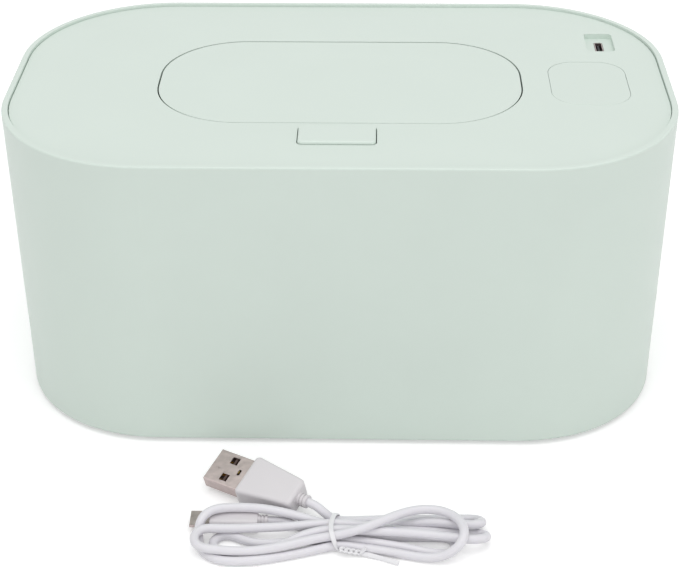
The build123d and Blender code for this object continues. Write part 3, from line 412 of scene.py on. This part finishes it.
def fuse_case(colours):
    # glazed ceramic: cream with a hard shine
    return moulded("glazed_ceramic", linear("#E2D8AE"), 0.12, 1.5, 0.006, 0.05)


def plug_metal(colours):
    # nickel-plated sheet: warm silver, its colour mottled darker in soft streaky clouds
    return metal("nickel_plated_sheet", colours.metal, 0.33, 1.4, (0.6, 1.0, 1.0), 0.004, 0.16)


def contact_gold(colours):
    # flash gold plating: yellow and fairly bright
    return metal("gold_plating", linear("#D9B15A"), 0.25, 0.3, (0.2, 1.0, 1.0), 0.001)


def plug_insert(colours):
    # glass-filled nylon inside the plug: dark brown, matt and a little sandy
    return moulded("dark_nylon", linear("#4A3630"), 0.55, 0.3, 0.01, 0.12)


def cord_jacket(colours):
    # soft PVC: cool white and satin, with a slight ripple from the extruder
    return moulded("soft_white_pvc", colours.cord, 0.38, 3.0, 0.02, 0.03, {
        "Subsurface Weight": 0.1, "Subsurface Radius": (0.0012, 0.0012, 0.0014),
        "Subsurface Scale": 1.0})


def grip_plastic(colours):
    # PVC moulded over the plugs: a shade greyer and more matt than the cord
    return moulded("moulded_white_pvc", colours.grip, 0.45, 0.5, 0.004, 0.02)


def tie_plastic(colours):
    # thin PVC ribbon drawn over a wire: white and satin
    return moulded("white_pvc_ribbon", linear("#E6E5E8"), 0.4, 0.9, 0.01, 0.03)


FINISHES = {maker.__name__: maker for maker in (
    case_plastic, inner_plastic, foot_rubber, silicone, window_plastic, plate_metal, film, foam,
    steel, spring_steel, hook_plastic, board, black_plastic, header_plastic, wire_jacket,
    sensor_bead, fuse_case, plug_metal, contact_gold, plug_insert, cord_jacket, grip_plastic,
    tie_plastic)}
materials = {}


def finish(slot, context):
    """Material of a slot of the record, or of the grips, made once."""
    if slot not in materials:
        materials[slot] = FINISHES[slot](settings_of(context).colours)
    return materials[slot]


# ---- settings ----
class WarmerColours(bpy.types.PropertyGroup):
    case: FloatVectorProperty(
        name="Case", description="Colour of the case, cover, lid and button", subtype="COLOR",
        size=4, min=0.0, max=1.0, default=linear("#D4E0D8"))
    window: FloatVectorProperty(
        name="Window", description="Colour of the display window", subtype="COLOR",
        size=4, min=0.0, max=1.0, default=linear("#D3DFD7"))
    inner: FloatVectorProperty(
        name="Inner parts", description="Colour of the inner mouldings", subtype="COLOR",
        size=4, min=0.0, max=1.0, default=linear("#E6E9E6"))
    cord: FloatVectorProperty(
        name="Cord", description="Colour of the charging lead", subtype="COLOR",
        size=4, min=0.0, max=1.0, default=linear("#DFDDE2"))
    grip: FloatVectorProperty(
        name="Grips", description="Colour of the plugs' moulded grips", subtype="COLOR",
        size=4, min=0.0, max=1.0, default=linear("#D7D3D6"))
    metal: FloatVectorProperty(
        name="Plug metal", description="Colour of the plugs' metal sleeves", subtype="COLOR",
        size=4, min=0.0, max=1.0, default=linear("#BFB1AF"))


class WarmerSizes(bpy.types.PropertyGroup):
    cord_diameter: FloatProperty(
        name="Cord diameter", description="Outer diameter of the charging lead", unit="LENGTH",
        default=2.8 * MM, min=1.0 * MM, max=6.0 * MM)
    tie_width: FloatProperty(
        name="Tie width", description="Width of the twist tie's ribbon", unit="LENGTH",
        default=1.5 * MM, min=1.0 * MM, max=4.0 * MM)
    tie_thickness: FloatProperty(
        name="Tie thickness", description="Thickness of the twist tie's ribbon", unit="LENGTH",
        default=0.5 * MM, min=0.2 * MM, max=1.0 * MM)
    foot_ridge: FloatProperty(
        name="Foot ridge", description="How far the ridges stand out under the feet", unit="LENGTH",
        default=0.35 * MM, min=0.1 * MM, max=1.0 * MM)
    foot_ridges: IntProperty(
        name="Foot ridges", description="Number of ridges under each foot",
        default=4, min=1, max=8)


class WarmerSettings(bpy.types.PropertyGroup):
    colours: PointerProperty(type=WarmerColours)
    sizes: PointerProperty(type=WarmerSizes)


# ---- stage ----
FLOOR_SIZE = 3.0                  # metres
FLOOR_LIFT = 0.3                  # light added to the paper where it is background
LAMPS = [
    # name, place in metres, aim, size in metres, watts
    ("overhead_lamp", (0.0, -0.15, 1.6), (0.0, 0.0, 0.0), 1.6, 10.1),
    ("left_lamp", (-1.3, -0.9, 0.7), (0.0, 0.0, 0.05), 1.0, 2.1),
    ("right_lamp", (1.4, -0.8, 0.5), (0.0, 0.0, 0.05), 1.0, 3.0),
    ("front_lamp", (0.2, -1.7, 0.45), (0.0, 0.0, 0.03), 1.0, 3.55),
]
WORLD_LIGHT = 0.6
WHITE = (1.0, 1.0, 1.0, 1.0)


def background_rays(tree):
    """1 for the rays that show the background: the camera's, reflected ones and those through glass."""
    path = add_node(tree, "ShaderNodeLightPath")
    direct = add_node(tree, "ShaderNodeMath", {
        0: path.outputs["Is Camera Ray"], 1: path.outputs["Is Glossy Ray"]},
        operation="ADD", use_clamp=True)
    both = add_node(tree, "ShaderNodeMath", {
        0: direct.outputs["Value"], 1: path.outputs["Is Transmission Ray"]},
        operation="ADD", use_clamp=True)
    return both.outputs["Value"]


def floor_material():
    """White paper that keeps its shadow, lifted to white as background, and clear from below."""
    material, tree = new_material("white_paper")
    place = add_node(tree, "ShaderNodeTexCoord").outputs["Object"]
    fibre = add_node(tree, "ShaderNodeTexNoise", {"Vector": place, "Scale": 1 / (1.5 * MM)})
    white = linear("#EFEFEF")
    tint = add_node(tree, "ShaderNodeMix", {
        "Factor": fibre.outputs["Fac"], 6: darker(white, 0.01), 7: white}, data_type="RGBA")
    paper = add_node(tree, "ShaderNodeBsdfDiffuse", {"Color": tint.outputs[2], "Roughness": 1.0})
    lift = add_node(tree, "ShaderNodeEmission", {"Color": WHITE, "Strength": FLOOR_LIFT})
    lifted = add_node(tree, "ShaderNodeAddShader", {
        0: paper.outputs["BSDF"], 1: lift.outputs["Emission"]})
    above = add_node(tree, "ShaderNodeMixShader", {
        "Fac": background_rays(tree), 1: paper.outputs["BSDF"], 2: lifted.outputs["Shader"]})
    side = add_node(tree, "ShaderNodeNewGeometry")
    clear = add_node(tree, "ShaderNodeBsdfTransparent")
    mix = add_node(tree, "ShaderNodeMixShader", {
        "Fac": side.outputs["Backfacing"], 1: above.outputs["Shader"], 2: clear.outputs["BSDF"]})
    add_node(tree, "ShaderNodeOutputMaterial", {"Surface": mix.outputs["Shader"]})
    return material


def white_room():
    """World that lights softly and shows as plain white."""
    world = bpy.data.worlds.new("white_room")
    world.use_nodes = True
    tree = world.node_tree
    tree.nodes.clear()
    light = add_node(tree, "ShaderNodeBackground", {"Color": WHITE, "Strength": WORLD_LIGHT})
    white = add_node(tree, "ShaderNodeBackground", {"Color": WHITE, "Strength": 1.0})
    mix = add_node(tree, "ShaderNodeMixShader", {
        "Fac": background_rays(tree), 1: light.outputs["Background"], 2: white.outputs["Background"]})
    add_node(tree, "ShaderNodeOutputWorld", {"Surface": mix.outputs["Shader"]})
    return world


class WARMER_OT_stage(bpy.types.Operator):
    """Make the camera, the floor and the studio light"""
    bl_idname = "warmer.stage"
    bl_label = "Stage"

    def execute(self, context):
        lens = bpy.data.cameras.new("camera")
        lens.sensor_width = SENSOR_WIDTH
        lens.lens = CAMERA_LENS
        camera = show("camera", lens)
        turn = Matrix.Rotation(math.radians(CAMERA_TURN), 4, "Z")
        tilt = Matrix.Rotation(math.radians(90.0 - CAMERA_DOWN), 4, "X")
        roll = Matrix.Rotation(math.radians(CAMERA_ROLL), 4, "Z")
        camera.matrix_world = Matrix.Translation(Vector(CAMERA_PLACE) * MM) @ turn @ tilt @ roll
        context.scene.camera = camera
        context.scene.view_settings.view_transform = "Standard"

        mesh = bpy.data.meshes.new("floor")
        half = FLOOR_SIZE / 2
        corners = [(-half, -half, 0), (half, -half, 0), (half, half, 0), (-half, half, 0)]
        mesh.from_pydata(corners, [], [(0, 1, 2, 3)])
        mesh.materials.append(floor_material())
        show("floor", mesh)

        for name, place, aim, size, watts in LAMPS:
            lamp = bpy.data.lights.new(name, "AREA")
            lamp.shape = "DISK"
            lamp.size = size
            lamp.energy = watts
            holder = show(name, lamp)
            holder.location = place
            holder.rotation_euler = (Vector(aim) - Vector(place)).to_track_quat("-Z", "Y").to_euler()
        context.scene.world = white_room()
        return {"FINISHED"}


# ---- Geometry Nodes ----
def new_tree(name, inputs):
    """Geometry node tree with named inputs, and its input node."""
    tree = bpy.data.node_groups.new(name, "GeometryNodeTree")
    tree.interface.new_socket("Geometry", in_out="INPUT", socket_type="NodeSocketGeometry")
    for label, kind in inputs:
        tree.interface.new_socket(label, in_out="INPUT", socket_type=kind)
    tree.interface.new_socket("Geometry", in_out="OUTPUT", socket_type="NodeSocketGeometry")
    return tree, add_node(tree, "NodeGroupInput")


def end_tree(tree, geometry, material):
    """Close a tree with Realize Instances and Set Material."""
    real = add_node(tree, "GeometryNodeRealizeInstances", {"Geometry": geometry})
    painted = add_node(tree, "GeometryNodeSetMaterial", {
        "Geometry": real.outputs["Geometry"], "Material": material})
    add_node(tree, "NodeGroupOutput", {"Geometry": painted.outputs["Geometry"]})


def grown(obj, tree, values):
    """Plain mesh that the tree makes of an object, which is then removed."""
    modifier = obj.modifiers.new("grow", "NODES")
    modifier.node_group = tree
    for item in tree.interface.items_tree:
        if item.in_out == "INPUT" and item.name in values:
            modifier[item.identifier] = values[item.name]
    graph = bpy.context.evaluated_depsgraph_get()
    mesh = bpy.data.meshes.new_from_object(obj.evaluated_get(graph))
    bpy.data.objects.remove(obj)
    return mesh


# ---- twist tie ----
def ribbon_tree(material):
    """Sweeps a flat section with rounded corners along each curve."""
    tree, given = new_tree("ribbon", [("Width", "NodeSocketFloat"), ("Thickness", "NodeSocketFloat")])
    section = add_node(tree, "GeometryNodeCurvePrimitiveQuadrilateral", {
        "Width": given.outputs["Width"], "Height": given.outputs["Thickness"]})
    corner = add_node(tree, "ShaderNodeMath", {0: given.outputs["Thickness"], 1: TIE_CORNER},
                      operation="MULTIPLY")
    rounded = add_node(tree, "GeometryNodeFilletCurve", {
        "Curve": section.outputs["Curve"], "Radius": corner.outputs["Value"], "Count": 3},
        mode="POLY")
    swept = add_node(tree, "GeometryNodeCurveToMesh", {
        "Curve": given.outputs["Geometry"], "Profile Curve": rounded.outputs["Curve"],
        "Fill Caps": True})
    smooth = add_node(tree, "GeometryNodeSetShadeSmooth", {
        "Geometry": swept.outputs["Mesh"], "Shade Smooth": True})
    end_tree(tree, smooth.outputs["Geometry"], material)
    return tree


def add_spline(curve, places, tilts=None, closed=False):
    """Add a smooth open or closed NURBS spline, with the turn of its section at each point."""
    spline = curve.splines.new("NURBS")
    spline.points.add(len(places) - 1)
    for point, place in zip(spline.points, places):
        point.co = (*place, 1.0)
    for point, tilt in zip(spline.points, tilts or []):
        point.tilt = tilt
    spline.order_u = 3
    spline.use_endpoint_u = not closed
    spline.use_cyclic_u = closed


def twist_turn(step, phase):
    """How far a ribbon has turned round the other at a step, in radians."""
    return 2 * math.pi * TWIST_TURNS * step / TWIST_STEPS + phase


def twist_places(phase):
    """One of the two ribbons as they wind round each other."""
    start, end = from_front(*TWIST_START), from_front(*TWIST_END)
    axis = (end - start).normalized()
    side = axis.cross(Vector((0, 0, 1))).normalized()
    up = side.cross(axis)
    places = []
    for step in range(TWIST_STEPS + 1):
        turn = twist_turn(step, phase)
        away = (side * math.cos(turn) + up * math.sin(turn)) * TWIST_RADIUS * MM
        places.append(start.lerp(end, step / TWIST_STEPS) + away)
    return places


class WARMER_OT_twist_tie(bpy.types.Operator):
    """Close the twist tie round the hank and twist its ends together"""
    bl_idname = "warmer.twist_tie"
    bl_label = "Twist tie"

    def execute(self, context):
        sizes = settings_of(context).sizes
        curve = bpy.data.curves.new("tie_path", "CURVE")
        curve.dimensions = "3D"
        curve.twist_mode = "Z_UP"
        add_spline(curve, [from_front(*place) for place in TIE_BAND], closed=True)
        for phase in (0.0, math.pi):
            turns = [twist_turn(step, phase) for step in range(TWIST_STEPS + 1)]
            add_spline(curve, twist_places(phase), turns)
        for end, turn in ((TIE_TAIL, TAIL_TURN), (TIE_STUB, 0.0)):
            places = [from_front(*place) for place in end]
            add_spline(curve, places, [math.radians(turn)] * len(places))
        tree = ribbon_tree(finish("tie_plastic", context))
        tie = show("twist_tie_ribbon", grown(show("tie_path", curve), tree, {
            "Width": sizes.tie_width, "Thickness": sizes.tie_thickness}))
        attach(tie, "case")
        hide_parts("twist_tie")
        return {"FINISHED"}


# ---- ribs under the large plug's windows ----
class WARMER_OT_window_ribs(bpy.types.Operator):
    """Set a round-topped rib of the insert under each window of the large plug"""
    bl_idname = "warmer.window_ribs"
    bl_label = "Window ribs"

    def execute(self, context):
        shape = bmesh.new()
        outline = [(-RIB_WIDTH / 2, RIB_FOOT)]
        for step in range(RIB_STEPS + 1):
            turn = math.pi * step / RIB_STEPS
            rise = RIB_TOP - RIB_WIDTH / 2 + math.sin(turn) * RIB_WIDTH / 2
            outline.append((-math.cos(turn) * RIB_WIDTH / 2, rise))
        outline.append((RIB_WIDTH / 2, RIB_FOOT))
        for side in (1, -1):
            ends = [[shape.verts.new((RIB_X + x, side * RIB_Y + end * RIB_LENGTH / 2, z))
                     for x, z in outline] for end in (-1, 1)]
            for corner in range(len(outline)):
                after = (corner + 1) % len(outline)
                shape.faces.new((ends[0][corner], ends[0][after], ends[1][after], ends[1][corner]))
            shape.faces.new(ends[0])
            shape.faces.new(ends[1])
        bmesh.ops.recalc_face_normals(shape, faces=shape.faces)
        tip = Matrix.Translation(from_front(*PLUG_TIP))
        heading = Matrix.Rotation(math.radians(PLUG_HEADING), 4, "Z")
        roll = Matrix.Rotation(math.radians(PLUG_ROLL), 4, "X")
        shape.transform(tip @ heading @ roll @ Matrix.Scale(MM, 4))
        mesh = bpy.data.meshes.new("plug_window_ribs")
        shape.to_mesh(mesh)
        shape.free()
        mesh.materials.append(finish("plug_insert", context))
        ribs = show("plug_window_ribs", mesh)
        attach(ribs, "case")
        return {"FINISHED"}


# ---- charging lead ----
class WARMER_OT_charging_lead(bpy.types.Operator):
    """Lay the charging lead in its hank from the large plug to the small one"""
    bl_idname = "warmer.charging_lead"
    bl_label = "Charging lead"

    def execute(self, context):
        diameter = settings_of(context).sizes.cord_diameter
        curve = bpy.data.curves.new("charging_cord", "CURVE")
        curve.dimensions = "3D"
        curve.bevel_depth = diameter / 2
        curve.bevel_resolution = 6
        curve.resolution_u = 6
        curve.use_fill_caps = True
        add_spline(curve, [from_front(*place) for place in LEAD_ROUTE])
        curve.materials.append(finish("cord_jacket", context))
        cord = show("charging_cord", curve)
        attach(cord, "case")
        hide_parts("cable_hank", "cable_lead")
        on_the_cord = [nodes[name] for name in PLUG_NODES + GRIP_NODES]
        on_the_cord += [bpy.data.objects[name] for name in ("plug_window_ribs", "twist_tie_ribbon")]
        return {"FINISHED"}


# ---- feet ----
FIRST_RING = 0.6                  # radius of the innermost ridge, in widths between ridges
ROUND_STEPS = 64                  # sides of a foot's circles
WIRE_SIDES = 8                    # sides of a ridge and of a coil's wire
COIL_STEPS = 24                   # steps in one turn of a coil


def feet_tree(material):
    """On each point a disc with round ridges under it."""
    tree, given = new_tree("feet", [
        ("Radius", "NodeSocketFloat"), ("Height", "NodeSocketFloat"), ("Ridge", "NodeSocketFloat"),
        ("Ridges", "NodeSocketInt")])
    ridge = given.outputs["Ridge"]
    depth = add_node(tree, "ShaderNodeMath", {0: given.outputs["Height"], 1: ridge},
                     operation="SUBTRACT")
    disc = add_node(tree, "GeometryNodeMeshCylinder", {
        "Vertices": ROUND_STEPS, "Radius": given.outputs["Radius"], "Depth": depth.outputs["Value"]})
    half = add_node(tree, "ShaderNodeMath", {0: depth.outputs["Value"], 1: 0.5},
                    operation="MULTIPLY")
    middle = add_node(tree, "ShaderNodeMath", {0: half.outputs["Value"], 1: ridge}, operation="ADD")
    lift = add_node(tree, "ShaderNodeCombineXYZ", {"Z": middle.outputs["Value"]})
    raised = add_node(tree, "GeometryNodeTransform", {
        "Geometry": disc.outputs["Mesh"], "Translation": lift.outputs["Vector"]})
    pitch = add_node(tree, "ShaderNodeMath", {
        0: given.outputs["Radius"], 1: given.outputs["Ridges"]}, operation="DIVIDE")
    number = add_node(tree, "GeometryNodeInputIndex")
    place = add_node(tree, "ShaderNodeMath", {0: number.outputs["Index"], 1: FIRST_RING},
                     operation="ADD")
    radius = add_node(tree, "ShaderNodeMath", {
        0: place.outputs["Value"], 1: pitch.outputs["Value"]}, operation="MULTIPLY")
    at_ridge = add_node(tree, "ShaderNodeCombineXYZ", {"Z": ridge})
    line = add_node(tree, "GeometryNodeMeshLine", {
        "Count": given.outputs["Ridges"], "Offset": (0.0, 0.0, 0.0)})
    seats = add_node(tree, "GeometryNodeSetPosition", {
        "Geometry": line.outputs["Mesh"], "Offset": at_ridge.outputs["Vector"]})
    ring = add_node(tree, "GeometryNodeCurvePrimitiveCircle", {
        "Resolution": ROUND_STEPS, "Radius": 1.0})
    rings = add_node(tree, "GeometryNodeInstanceOnPoints", {
        "Points": seats.outputs["Geometry"], "Instance": ring.outputs["Curve"],
        "Scale": radius.outputs["Value"]})
    real = add_node(tree, "GeometryNodeRealizeInstances", {"Geometry": rings.outputs["Instances"]})
    section = add_node(tree, "GeometryNodeCurvePrimitiveCircle", {
        "Resolution": WIRE_SIDES, "Radius": ridge})
    ridges = add_node(tree, "GeometryNodeCurveToMesh", {
        "Curve": real.outputs["Geometry"], "Profile Curve": section.outputs["Curve"]})
    foot = add_node(tree, "GeometryNodeJoinGeometry")
    tree.links.new(raised.outputs["Geometry"], foot.inputs["Geometry"])
    tree.links.new(ridges.outputs["Mesh"], foot.inputs["Geometry"])
    feet = add_node(tree, "GeometryNodeInstanceOnPoints", {
        "Points": given.outputs["Geometry"], "Instance": foot.outputs["Geometry"]})
    end_tree(tree, feet.outputs["Instances"], material)
    return tree


class WARMER_OT_feet(bpy.types.Operator):
    """Set a ridged rubber foot in each seat under the case"""
    bl_idname = "warmer.feet"
    bl_label = "Feet"

    def execute(self, context):
        sizes = settings_of(context).sizes
        x = (feet_high.x - FOOT_RADIUS) * MM
        y = (feet_high.y - FOOT_RADIUS) * MM
        mesh = bpy.data.meshes.new("foot_places")
        seats = [(side * x, end * y, feet_low.z * MM) for side in (-1, 1) for end in (-1, 1)]
        mesh.from_pydata(seats, [], [])
        tree = feet_tree(finish("foot_rubber", context))
        feet = show("ridged_feet", grown(show("foot_places", mesh), tree, {
            "Radius": FOOT_RADIUS * MM, "Height": (feet_high.z - feet_low.z) * MM,
            "Ridge": sizes.foot_ridge, "Ridges": sizes.foot_ridges}))
        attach(feet, "case")
        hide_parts("rubber_feet")
        return {"FINISHED"}


# ---- springs under the button ----
def coil_tree(material):
    """On each point an upright coil of round wire."""
    tree, given = new_tree("coils", [
        ("Turns", "NodeSocketFloat"), ("Radius", "NodeSocketFloat"), ("Height", "NodeSocketFloat"),
        ("Wire", "NodeSocketFloat")])
    coil = add_node(tree, "GeometryNodeCurveSpiral", {
        "Resolution": COIL_STEPS, "Rotations": given.outputs["Turns"],
        "Start Radius": given.outputs["Radius"], "End Radius": given.outputs["Radius"],
        "Height": given.outputs["Height"]})
    section = add_node(tree, "GeometryNodeCurvePrimitiveCircle", {
        "Resolution": WIRE_SIDES, "Radius": given.outputs["Wire"]})
    wire = add_node(tree, "GeometryNodeCurveToMesh", {
        "Curve": coil.outputs["Curve"], "Profile Curve": section.outputs["Curve"],
        "Fill Caps": True})
    coils = add_node(tree, "GeometryNodeInstanceOnPoints", {
        "Points": given.outputs["Geometry"], "Instance": wire.outputs["Mesh"]})
    end_tree(tree, coils.outputs["Instances"], material)
    return tree


class WARMER_OT_button_springs(bpy.types.Operator):
    """Set a wire coil under each end of the button"""
    bl_idname = "warmer.button_springs"
    bl_label = "Button springs"

    def execute(self, context):
        x = springs_high.x - SPRING_RADIUS - SPRING_WIRE
        y = (springs_low.y + springs_high.y) / 2
        height = springs_high.z - springs_low.z
        mesh = bpy.data.meshes.new("spring_places")
        places = [Vector((side * x, y, springs_low.z + SPRING_WIRE)) * MM for side in (-1, 1)]
        mesh.from_pydata(places, [], [])
        tree = coil_tree(finish("spring_steel", context))
        springs = show("button_coils", grown(show("spring_places", mesh), tree, {
            "Turns": SPRING_TURNS, "Radius": SPRING_RADIUS * MM, "Wire": SPRING_WIRE * MM,
            "Height": (height - 2 * SPRING_WIRE) * MM}))
        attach(springs, "top_cover")
        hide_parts("button_springs")
        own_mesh(springs)
        return {"FINISHED"}


# ---- finishes of the CAD parts ----
class WARMER_OT_finishes(bpy.types.Operator):
    """Give each CAD part the finish of its slot"""
    bl_idname = "warmer.finishes"
    bl_label = "Finishes"

    def execute(self, context):
        for part in record["subparts"]:
            name = part["node"]
            slot = "grip_plastic" if name in GRIP_NODES else part["material_slot"]
            nodes[name].data.materials.clear()
            nodes[name].data.materials.append(finish(slot, context))
        return {"FINISHED"}


OPERATORS = [
    WARMER_OT_stage, WARMER_OT_twist_tie, WARMER_OT_window_ribs, WARMER_OT_charging_lead,
    WARMER_OT_feet, WARMER_OT_button_springs, WARMER_OT_finishes,
]


class WARMER_PT_panel(bpy.types.Panel):
    """Lists the pieces of the wipe warmer"""
    bl_idname = "WARMER_PT_panel"
    bl_label = "Wipe warmer"
    bl_space_type = "VIEW_3D"
    bl_region_type = "UI"
    bl_category = "Wipe warmer"

    def draw(self, context):
        settings = settings_of(context)
        for group in (settings.colours, settings.sizes):
            for name in group.__annotations__:
                self.layout.prop(group, name)
        for operator in OPERATORS:
            self.layout.operator(operator.bl_idname)


CLASSES = [WarmerColours, WarmerSizes, WarmerSettings] + OPERATORS + [WARMER_PT_panel]


def register():
    for item in CLASSES:
        bpy.utils.register_class(item)
    bpy.types.Scene.wipe_warmer = PointerProperty(type=WarmerSettings)


def unregister():
    del bpy.types.Scene.wipe_warmer
    for item in reversed(CLASSES):
        bpy.utils.unregister_class(item)


def main():
    """Build the whole scene."""
    register()
    bpy.ops.warmer.stage()
    bpy.ops.warmer.twist_tie()
    bpy.ops.warmer.window_ribs()
    bpy.ops.warmer.charging_lead()
    bpy.ops.warmer.feet()
    bpy.ops.warmer.button_springs()
    bpy.ops.warmer.finishes()


if __name__ == "__main__":
    main()
